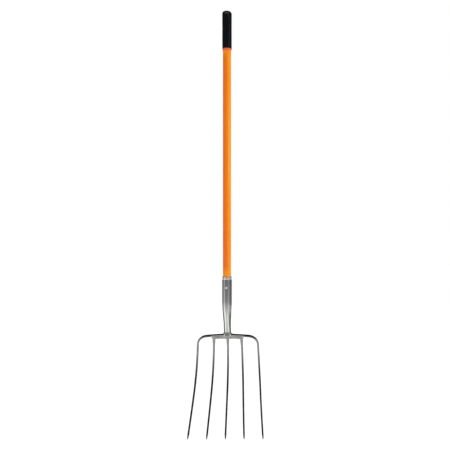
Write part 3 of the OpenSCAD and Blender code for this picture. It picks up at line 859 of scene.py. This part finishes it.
def foam_finish(colours):
    finish = Finish("closed_cell_foam", Roughness=0.9)
    cells = finish.add("ShaderNodeTexVoronoi", Vector=finish.coords(), Scale=900.0).outputs["Distance"]
    return finish.wear(
        Base_Color=finish.ramp(cells, (0.0, shade(colours.foam, 0.8)), (0.6, colours.foam)),
        Normal=finish.bump(cells, 0.0003),
    )


def plug_finish(colours):
    return grained_finish("moulded_plug", colours.plug, {"size": 0.002}, shades=(0.85, 1.15),
                          roughness=(0.5, 0.65), relief=0.00005)


def wood_finish(colours):
    grain = {"size": 0.0025, "detail": 5.0, "rough": 0.6, "stretch": (1.0, 1.0, 0.06)}
    return grained_finish("turned_wood", colours.wood, grain, shades=(0.7, 1.15), roughness=(0.55, 0.75),
                          relief=0.0001)


# Pieces

class FORK_OT_grip(bpy.types.Operator):
    """Moulded rubber sleeve with a domed end and a faint waist under the hand"""
    bl_idname = "fork.grip"
    bl_label = "Grip"

    def execute(self, context):
        sizes = context.scene.fork_handle
        bore = sizes.tube_radius + sizes.fit
        top = sizes.grip_top
        span = top - sizes.grip_foot
        swell = mix(sizes.grip_foot_radius, sizes.grip_radius, GRIP_SWELL_GROWTH_SHARE)
        bm = turned([
            (0.0, sizes.tube_top, 0.0),
            (bore, sizes.tube_top, 0.0),
            (bore, sizes.grip_foot, 0.0),
            (sizes.grip_foot_radius, sizes.grip_foot, EDGE_DRESSED),
            (swell, top - span * GRIP_SWELL_SHARE, GRIP_BLEND),
            (sizes.grip_waist, top - span * GRIP_WAIST_SHARE, GRIP_BLEND),
            (sizes.grip_radius, top - span * GRIP_BARREL_SHARE, GRIP_BLEND),
            (sizes.grip_radius, top - sizes.grip_crown, sizes.grip_round),
            (0.0, top, 0.0),
        ], closed=False)
        finish = rubber_finish(context.scene.fork_finishes)
        finish_piece(bm, "grip_sleeve", "grip", finish)
        return {"FINISHED"}


class FORK_OT_band(bpy.types.Operator):
    """Coral ring that closes the grip's foot"""
    bl_idname = "fork.band"
    bl_label = "Band"

    def execute(self, context):
        sizes = context.scene.fork_handle
        bore = sizes.tube_radius + sizes.fit
        wall = sizes.band_radius - bore
        bm = turned([
            (bore, sizes.band_foot, 0.0),
            (bore + sizes.band_lip, sizes.band_foot, EDGE_SHARP),
            (sizes.band_radius, sizes.grip_foot - wall, BAND_ROUND),
            (sizes.band_radius, sizes.grip_foot, EDGE_SHARP),
            (bore, sizes.grip_foot, 0.0),
        ], closed=True)
        finish = coral_finish(context.scene.fork_finishes)
        finish_piece(bm, "coral_band", "grip_band", finish)
        return {"FINISHED"}


class FORK_OT_tube(bpy.types.Operator):
    """Long orange tube with its wall and dressed ends"""
    bl_idname = "fork.tube"
    bl_label = "Handle tube"

    def execute(self, context):
        sizes = context.scene.fork_handle
        bore = sizes.tube_radius - sizes.tube_wall
        bm = turned([
            (bore, sizes.tube_foot, EDGE_FINE),
            (sizes.tube_radius, sizes.tube_foot, EDGE_DRESSED),
            (sizes.tube_radius, sizes.tube_top, EDGE_DRESSED),
            (bore, sizes.tube_top, EDGE_FINE),
        ], closed=True)
        finish = tube_finish(context.scene.fork_finishes)
        finish_piece(bm, "orange_tube", "handle_tube", finish)
        return {"FINISHED"}


class FORK_OT_ring(bpy.types.Operator):
    """Bright ring on the socket's mouth, with a rolled upper edge over a fine groove"""
    bl_idname = "fork.ring"
    bl_label = "Bright ring"

    def execute(self, context):
        sizes = context.scene.fork_handle
        mouth = context.scene.fork_head.socket_mouth
        bore = sizes.tube_radius + sizes.fit
        radius = sizes.ring_radius
        roll = sizes.ring_top - sizes.ring_round * 2
        bm = turned([
            (bore, mouth, 0.0),
            (radius - sizes.ring_tuck, mouth, EDGE_FINE),
            (radius, roll - sizes.groove_width, EDGE_FINE),
            (radius - sizes.groove_depth, roll - sizes.groove_width / 2, EDGE_FINE),
            (radius, roll, EDGE_ROLLED),
            (radius, sizes.ring_top, sizes.ring_round),
            (bore, sizes.ring_top, EDGE_SOFT),
        ], closed=True)
        finish = ring_finish(context.scene.fork_finishes)
        finish_piece(bm, "bright_ring", "ferrule_ring", finish)
        return {"FINISHED"}


class FORK_OT_socket(bpy.types.Operator):
    """Steel socket that tapers and leans back into an oval neck"""
    bl_idname = "fork.socket"
    bl_label = "Socket and neck"
    sharp = 20.0

    def places(self, context):
        """Places of a unit circle from the bore over the mouth to the neck's foot, each with its painted dark
        reflection.
        """
        handle = context.scene.fork_handle
        head = Head(context)
        sizes = head.sizes
        bore = handle.tube_radius + handle.fit
        radius, mouth, bevel = sizes.socket_radius, sizes.socket_mouth, sizes.mouth_bevel
        rounding = bevel * MOUTH_ROUND_SHARE
        rings = [
            (bore, handle.tube_foot),
            (bore, mouth - bevel),
            (bore + bevel / 2, mouth),
            (radius - bevel, mouth),
            (radius - rounding, mouth - rounding),
            (radius, mouth - bevel),
        ]
        rings += [(radius, mouth - bevel * share) for share in MOUTH_RING_SHARES]
        rings += [(radius, mouth - drop) for drop in SOCKET_RING_DROPS]
        for r, z in rings:
            yield Matrix.Translation((0, 0, z)) @ Matrix.Diagonal((r, r, 1, 1)), 0.0
        for q in steps(NECK_STEPS, 0):
            yield head.neck_matrix(q) @ Matrix.Diagonal((*head.neck_half(q), 1, 1)), fade(q, *NECK_FADE)

    def execute(self, context):
        bm = bmesh.new()
        loft(bm, self.places(context), NECK_FLANK_FADE)
        cap(bm)
        finish = socket_finish(context.scene.fork_finishes)
        finish_piece(bm, "socket_and_neck", "socket", finish, self.sharp)
        return {"FINISHED"}


class FORK_OT_rivet(bpy.types.Operator):
    """Rivet through the socket, with its formed washer at the back"""
    bl_idname = "fork.rivet"
    bl_label = "Rivet and washer"

    def rivet(self, sizes, height, to_front):
        """Rivet with a domed head, whose rim follows the socket's round wall."""
        wall = sizes.socket_radius
        front, back = -RIVET_LOW.y, -RIVET_HIGH.y
        seat = -wall - sizes.washer_thick - sizes.rivet_fit
        head, tail = sizes.rivet_head_radius, sizes.rivet_tail_radius
        rim = math.sqrt(wall ** 2 - head ** 2)
        bm = turned([
            (0.0, back, 0.0),
            (tail * TAIL_DOME_SHARES[0], mix(back, seat, TAIL_DOME_SHARES[1]), TAIL_DOME_ROUND),
            (tail, mix(back, seat, TAIL_EDGE_SHARE), EDGE_FINE),
            (tail, seat, 0.0),
            (sizes.rivet_radius, seat, 0.0),
            (sizes.rivet_radius, rim, 0.0),
            (head, rim, 0.0),
            (head, wall + sizes.rivet_head_rim, EDGE_SOFT),
            (head * HEAD_DOME_SHARES[0], mix(wall, front, HEAD_DOME_SHARES[1]), HEAD_DOME_ROUND),
            (0.0, front, 0.0),
        ], closed=False, matrix=to_front)
        for vert in bm.verts:
            across = math.hypot(vert.co.x, vert.co.z - height)
            if abs(vert.co.y + rim) < MERGE and across > head - NEAR:
                vert.co.y = -math.sqrt(wall ** 2 - vert.co.x ** 2)
        return bm

    def washer(self, sizes, to_front):
        """Washer whose inner face follows the socket's round wall."""
        wall = sizes.socket_radius
        radius = sizes.washer_radius
        outer = -wall - sizes.washer_thick
        inner = -math.sqrt(wall ** 2 - radius ** 2)
        hole = sizes.rivet_radius + sizes.rivet_fit
        bm = turned([
            (hole, outer, EDGE_SHARP),
            (radius, outer, EDGE_ROLLED),
            (radius, inner, 0.0),
            ((hole + radius) / 2, inner, 0.0),
            (hole, inner, 0.0),
        ], closed=True, matrix=to_front)
        for vert in bm.verts:
            if abs(vert.co.y + inner) < MERGE:
                vert.co.y = math.sqrt(wall ** 2 - vert.co.x ** 2) + sizes.rivet_fit
        return bm

    def execute(self, context):
        sizes = context.scene.fork_head
        finish = rivet_finish(context.scene.fork_finishes)
        height = sizes.socket_mouth - sizes.rivet_drop
        to_front = Matrix.Translation((0, 0, height)) @ Matrix.Rotation(math.pi / 2, 4, "X")
        bm = self.rivet(sizes, height, to_front)
        finish_piece(bm, "rivet", "socket_rivet", finish)
        bm = self.washer(sizes, to_front)
        finish_piece(bm, "formed_washer", "rivet_washer", finish)
        return {"FINISHED"}


class FORK_OT_neck_weld(bpy.types.Operator):
    """Hollow fillet around the neck's foot"""
    bl_idname = "fork.neck_weld"
    bl_label = "Neck weld"
    sharp = 60.0

    def places(self, head):
        """Places of a unit circle: from inside the bar up the neck, out along the hollow and back in."""
        sizes = head.sizes
        half_w, half_d = head.neck_half(1.0)
        rows = [(0.0, -WELD_SINK_SHARE)]
        for q in steps(FILLET_STEPS, 0):
            turn = math.pi / 2 * q
            rows.append((mix(q, 1 - math.cos(turn), WELD_HOLLOW_SHARE),
                         mix(1 - q, 1 - math.sin(turn), WELD_HOLLOW_SHARE)))
        rows.append((1.0, -WELD_SINK_SHARE))
        for out, up in rows:
            grow = Matrix.Diagonal((half_w + out * sizes.weld_side, half_d + out * sizes.weld_front, 1, 1))
            yield head.neck_matrix(1 - up * sizes.weld_height / sizes.neck_length) @ grow, 1.0

    def execute(self, context):
        bm = bmesh.new()
        first, last = loft(bm, self.places(Head(context)), WELD_FLANK_FADE)
        bmesh.ops.bridge_loops(bm, edges=loop_edges(bm, first) + loop_edges(bm, last))
        finish = neck_weld_finish(context.scene.fork_finishes)
        finish_piece(bm, "neck_fillet", "neck_weld", finish, self.sharp)
        return {"FINISHED"}


class FORK_OT_shoulder(bpy.types.Operator):
    """Bar that makes the shoulder and bends down into the two outer tines"""
    bl_idname = "fork.shoulder"
    bl_label = "Shoulder and outer tines"

    def bar(self, head):
        """Right half of the bar, with a painted dark reflection on its top, and on its faces beyond the
        roots.
        """
        sizes = head.sizes
        half = sizes.bow_height / 2
        for q in steps(DROOP_STEPS, 0):
            turn = sizes.bow_droop * q
            x = head.droop_radius * math.sin(turn)
            deep = mix(sizes.bow_mid_depth, sizes.bow_depth, ease(x / (sizes.bow_swell / 2)))
            bare = ease((x - head.inner_root - sizes.root_width / 2) / sizes.root_width)
            yield bar_matrix(x, head.drop(x), turn), half, half, deep / 2, 1.0, FACE_PAINTED_DARK * bare

    def bend(self, head):
        """Bend from the bar to the tine, over which the painted dark reflection ends."""
        sizes = head.sizes
        for q in steps(BEND_STEPS):
            turn = mix(sizes.bow_droop, head.bend_turn, q)
            x = head.bend_x + sizes.bend_radius * math.sin(turn)
            s = head.bend_s - sizes.bend_radius * math.cos(turn)
            half = mix(sizes.bow_height, sizes.tine_width, q) / 2
            deep = mix(sizes.bow_depth, sizes.tine_depth, q) / 2
            # Painted dark reflection on the bend's top and faces, fading along it
            scale = (1 - fade(q, *BEND_FADE), FACE_PAINTED_DARK * (1 - ease(q)))
            yield bar_matrix(x, s, turn), half, half, deep, *scale

    def blade(self, head):
        """Tine below the bend, and its point."""
        sizes = head.sizes
        rows = [(mix(head.root_s, head.point_s, q), mix(sizes.tine_width, sizes.tip_thick, q) / 2,
                 mix(sizes.tine_depth, sizes.tip_depth, q) / 2) for q in steps(TINE_STEPS)]
        for s, half, deep in [*rows, *head.point_rows()]:
            x = head.splay(head.outer_root, head.outer_tip, s)
            turn = head.splay_turn(head.outer_root, head.outer_tip, s)
            yield bar_matrix(x, s, turn), half, half, deep

    def execute(self, context):
        head = Head(context)
        bm = bmesh.new()
        ring = sweep(bm, [*self.bar(head), *self.bend(head), *self.blade(head)])
        bmesh.ops.contextual_create(bm, geom=ring)
        bmesh.ops.mirror(bm, geom=bm.verts[:] + bm.edges[:] + bm.faces[:], matrix=Matrix.Identity(4),
                         merge_dist=MERGE, axis="X")
        for vert in bm.verts:
            vert.co = head.dished(vert.co)
        finish = tine_finish(context.scene.fork_finishes)
        finish_piece(bm, "shoulder_and_outer_tines", "shoulder_bow", finish)
        return {"FINISHED"}


class FORK_OT_inner_tines(bpy.types.Operator):
    """Three inner tines, whose wide roots make the band under the shoulder"""
    bl_idname = "fork.inner_tines"
    bl_label = "Inner tines"

    def stations(self, head, root, tip, left_end, right_end):
        """Stations of a tine whose root reaches to left_end, and to right_end unless that side is free."""
        sizes = head.sizes
        rows = [(s, math.inf) for s in (head.seat, head.web_foot - sizes.web_height * WEB_FALL_SHARE)]
        for q in steps(FILLET_STEPS, 0):
            turn = math.pi / 2 * q
            rows.append((head.web_foot + sizes.root_fillet * (1 - math.cos(turn)),
                         sizes.root_fillet * (1 - math.sin(turn))))
        rows += [(mix(head.fillet_foot, head.root_foot, q), 0.0) for q in steps(ROOT_STEPS)]
        rows += [(mix(head.root_foot, head.point_s, q), 0.0) for q in steps(TINE_STEPS)]
        for s, reach in rows:
            x = head.splay(root, tip, s)
            half = head.tine_half(s)
            flare = sizes.outer_flare * max(0.0, 1 - (s - head.seat) / (head.fillet_foot - head.seat)) ** 2
            left = min(x - left_end, half + reach)
            right = half + flare if right_end is None else min(right_end - x, half + reach)
            yield bar_matrix(x, s, math.pi / 2), left, right, head.tine_half_depth(s)
        for s, half, deep in head.point_rows():
            yield bar_matrix(head.splay(root, tip, s), s, math.pi / 2), half, half, deep

    def tine(self, head, name, node, ends, finish, flip=False):
        bm = bmesh.new()
        sweep(bm, self.stations(head, *ends))
        cap(bm)
        run = head.sizes.tine_length - head.seat
        for vert in bm.verts:
            s = -vert.co.z
            vert.co.z -= head.drop(vert.co.x) * (1 - (s - head.seat) / run)
            vert.co = head.dished(vert.co)
        if flip:
            bmesh.ops.scale(bm, vec=(-1, 1, 1), verts=bm.verts)
        finish_piece(bm, name, node, finish)

    def execute(self, context):
        head = Head(context)
        finish = tine_finish(context.scene.fork_finishes)
        gap = head.sizes.weld_gap / 2
        side = (head.inner_root, head.inner_tip, head.seam + gap, None)
        centre = (0.0, 0.0, gap - head.seam, head.seam - gap)
        self.tine(head, "left_tine", "inner_tine_left", side, finish, flip=True)
        self.tine(head, "centre_tine", "middle_tine", centre, finish)
        self.tine(head, "right_tine", "inner_tine_right", side, finish)
        return {"FINISHED"}


class FORK_OT_seams(bpy.types.Operator):
    """Weld beads in the corners between the shoulder and the inner tines' roots"""
    bl_idname = "fork.seams"
    bl_label = "Seam welds"

    def bead(self, bm, head, side, start, stop):
        """Rippled bead from start to stop across, in front or behind, thin at its ends."""
        leg = head.sizes.seam_leg
        ring = bmesh.ops.create_circle(bm, cap_ends=False, radius=1.0, segments=BEAD_SIDES)["verts"]
        corners = [v.co.copy() for v in ring]
        for q in steps(BEAD_STEPS, 0):
            if q:
                ring = extrude_ring(bm, ring)
            x = mix(start, stop, q)
            ripple = 1 - BEAD_RIPPLE_SHARE + BEAD_RIPPLE_SHARE * math.sin(q * BEAD_STEPS * BEAD_RIPPLE_TURN)
            swell = min(1.0, BEAD_END_SHARE + BEAD_END_RATE * min(q, 1 - q)) * ripple
            radius = leg * BEAD_RADIUS_SHARE * swell
            down = head.seat + head.drop(x) + leg * BEAD_DOWN_SHARE
            forward = head.sizes.web_depth / 2 + leg * BEAD_FORWARD_SHARE
            for vert, corner in zip(ring, corners):
                t = forward + corner.y * radius
                vert.co = head.dished(Vector((x, -side * t, -down - corner.x * radius)))

    def execute(self, context):
        head = Head(context)
        gap = head.sizes.root_width / 2
        spans = ((gap - head.seam, head.seam - gap), (head.seam + gap, head.inner_root),
                 (-head.inner_root, -head.seam - gap))
        bm = bmesh.new()
        for side in (-1, 1):
            for start, stop in spans:
                self.bead(bm, head, side, start, stop)
        cap(bm)
        finish = bead_finish(context.scene.fork_finishes)
        finish_piece(bm, "seam_beads", "tine_welds", finish)
        return {"FINISHED"}


class FORK_OT_fillings(bpy.types.Operator):
    """Finishes of the pieces inside the tube, which stay as they are packed"""
    bl_idname = "fork.fillings"
    bl_label = "Fillings"

    def execute(self, context):
        colours = context.scene.fork_finishes
        fillings = (("foam_core", foam_finish), ("top_plug", plug_finish), ("rivet_plug", wood_finish))
        for node, finish in fillings:
            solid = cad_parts[node]
            material = finish(colours)
            if not solid.material_slots:
                solid.data.materials.append(material)
            for slot in solid.material_slots:
                slot.material = material
        return {"FINISHED"}


class FORK_OT_stage(bpy.types.Operator):
    """Pale floor, soft lamps, the studio that the steel mirrors, and the camera"""
    bl_idname = "fork.stage"
    bl_label = "Stage"

    def place(self, context, name, data):
        holder = bpy.data.objects.new(name, data)
        context.scene.collection.objects.link(holder)
        return holder

    def floor(self, context, studio):
        bm = bmesh.new()
        bmesh.ops.create_grid(bm, x_segments=FLOOR_STEPS, y_segments=FLOOR_STEPS, size=studio.floor_size / 2)
        bmesh.ops.translate(bm, vec=(0, 0, CAD_LOW.z - FLOOR_GAP), verts=bm.verts)
        mesh = bpy.data.meshes.new("floor")
        bm.to_mesh(mesh)
        bm.free()
        material = bpy.data.materials.new("pale_floor")
        sheet = cleared(material)
        path = sheet.add("ShaderNodeLightPath").outputs
        seen = sheet.reckon("MAXIMUM", path["Is Camera Ray"], path["Is Transmission Ray"])
        seen = sheet.reckon("MAXIMUM", seen, path["Is Glossy Ray"])
        paper = sheet.add("ShaderNodeBsdfDiffuse", Color=(*(FLOOR_PAPER,) * 3, 1.0)).outputs[0]
        white = sheet.add("ShaderNodeEmission", Strength=FLOOR_GLOW).outputs[0]
        lit = sheet.shaders(sheet.reckon("MULTIPLY", seen, FLOOR_GLOW_SHARE), paper, white)
        sheet.add("ShaderNodeOutputMaterial", Surface=lit)
        mesh.materials.append(material)
        floor = self.place(context, "floor", mesh)
        floor.visible_glossy = False

    def share(self, degrees):
        """Place on the upright ramp of a height above the horizon."""
        return (1 + math.sin(math.radians(degrees))) / 2

    def by_height(self, sheet, rise, tones):
        return sheet.ramp(rise, *((self.share(up), tone) for up, tone in tones))

    def by_turn(self, sheet, turn, tones):
        return sheet.ramp(turn, *((0.5 + way / 360.0, tone) for way, tone in tones))

    def tent(self, sheet):
        """Tones that reflections see: a pale tent with a dark top, and a bright strip at the right."""
        way = sheet.add("ShaderNodeTexCoord").outputs["Generated"]
        way = sheet.add("ShaderNodeSeparateXYZ", Vector=way).outputs
        rise = sheet.span(way["Z"], -1.0, 1.0, 0.0, 1.0)
        turn = sheet.reckon("ARCTAN2", way["X"], sheet.reckon("MULTIPLY", way["Y"], -1.0))
        turn = sheet.span(turn, -math.pi, math.pi, 0.0, 1.0)
        upper, lower = (self.by_turn(sheet, turn, tones) for tones in (UPPER_BY_TURN, LOWER_BY_TURN))
        low = sheet.span(rise, *(self.share(up) for up in UPPER_TO_LOWER), 0.0, 1.0)
        sides = sheet.blend(low, upper, lower)
        tent = sheet.blend(1.0, self.by_height(sheet, rise, TENT_BY_HEIGHT), sides, "MULTIPLY")
        strip = sheet.blend(1.0, self.by_height(sheet, rise, STRIP_BY_HEIGHT),
                            self.by_turn(sheet, turn, STRIP_BY_TURN), "MULTIPLY")
        return sheet.blend(1.0, tent, strip, "ADD")

    def world(self, context, studio):
        """White to the camera, the tent in reflections, and soft light for the rest."""
        world = bpy.data.worlds.new("studio")
        context.scene.world = world
        sheet = cleared(world)
        path = sheet.add("ShaderNodeLightPath").outputs
        white = (1.0, 1.0, 1.0, 1.0)
        soft, mirrored, plain = (
            sheet.add("ShaderNodeBackground", Color=tone, Strength=strength).outputs[0] for tone, strength in
            ((white, studio.ambient), (self.tent(sheet), TENT_LEVEL), (white, 1.0)))
        lit = sheet.shaders(path["Is Glossy Ray"], soft, mirrored)
        seen = sheet.reckon("MAXIMUM", path["Is Camera Ray"], path["Is Transmission Ray"])
        sheet.add("ShaderNodeOutputWorld", Surface=sheet.shaders(seen, lit, plain))

    def lamp(self, context, name, place, width, height, power):
        lamp = bpy.data.lights.new(name, "AREA")
        lamp.shape = "RECTANGLE"
        lamp.size = width
        lamp.size_y = height
        lamp.energy = power
        holder = self.place(context, name, lamp)
        holder.location = place
        holder.rotation_euler = (Vector(LAMP_AIM) - Vector(place)).to_track_quat("-Z", "Y").to_euler()
        holder.visible_camera = False
        holder.visible_glossy = False

    def camera(self, context, studio):
        eye = bpy.data.cameras.new("photo_camera")
        eye.lens = studio.lens
        eye.shift_x = studio.slide
        eye.sensor_width = SENSOR_WIDTH
        camera = self.place(context, "photo_camera", eye)
        camera.location = studio.eye
        camera.rotation_euler = (math.pi / 2, 0, 0)
        context.scene.camera = camera

    def execute(self, context):
        studio = context.scene.fork_studio
        self.floor(context, studio)
        self.world(context, studio)
        for name, place, width, height in LAMPS:
            self.lamp(context, name, place, width, height, getattr(studio, name))
        self.camera(context, studio)
        context.scene.view_settings.view_transform = "Standard"
        return {"FINISHED"}


OPERATORS = (
    FORK_OT_grip, FORK_OT_band, FORK_OT_tube, FORK_OT_ring, FORK_OT_socket, FORK_OT_rivet, FORK_OT_neck_weld,
    FORK_OT_shoulder, FORK_OT_inner_tines, FORK_OT_seams, FORK_OT_fillings, FORK_OT_stage,
)
GROUPS = (
    ("fork_handle", HandleSizes),
    ("fork_head", HeadSizes),
    ("fork_finishes", Finishes),
    ("fork_studio", StudioSizes),
)


class FORK_PT_panel(bpy.types.Panel):
    """Buttons that build the fork's pieces"""
    bl_idname = "FORK_PT_panel"
    bl_label = "Manure fork"
    bl_space_type = "VIEW_3D"
    bl_region_type = "UI"
    bl_category = "Fork"

    def draw(self, context):
        for operator in OPERATORS:
            self.layout.operator(operator.bl_idname)
        for name, group in GROUPS:
            box = self.layout.box()
            box.label(text=group.__doc__)
            for key in group.__annotations__:
                box.prop(getattr(context.scene, name), key)


def register():
    for name, group in GROUPS:
        bpy.utils.register_class(group)
        setattr(bpy.types.Scene, name, PointerProperty(type=group))
    for operator in OPERATORS:
        bpy.utils.register_class(operator)
    bpy.utils.register_class(FORK_PT_panel)


def unregister():
    bpy.utils.unregister_class(FORK_PT_panel)
    for operator in reversed(OPERATORS):
        bpy.utils.unregister_class(operator)
    for name, group in reversed(GROUPS):
        delattr(bpy.types.Scene, name)
        bpy.utils.unregister_class(group)


def main():
    register()
    bpy.ops.fork.grip()
    bpy.ops.fork.band()
    bpy.ops.fork.tube()
    bpy.ops.fork.ring()
    bpy.ops.fork.socket()
    bpy.ops.fork.rivet()
    bpy.ops.fork.neck_weld()
    bpy.ops.fork.shoulder()
    bpy.ops.fork.inner_tines()
    bpy.ops.fork.seams()
    bpy.ops.fork.fillings()
    bpy.ops.fork.stage()


if __name__ == "__main__":
    main()
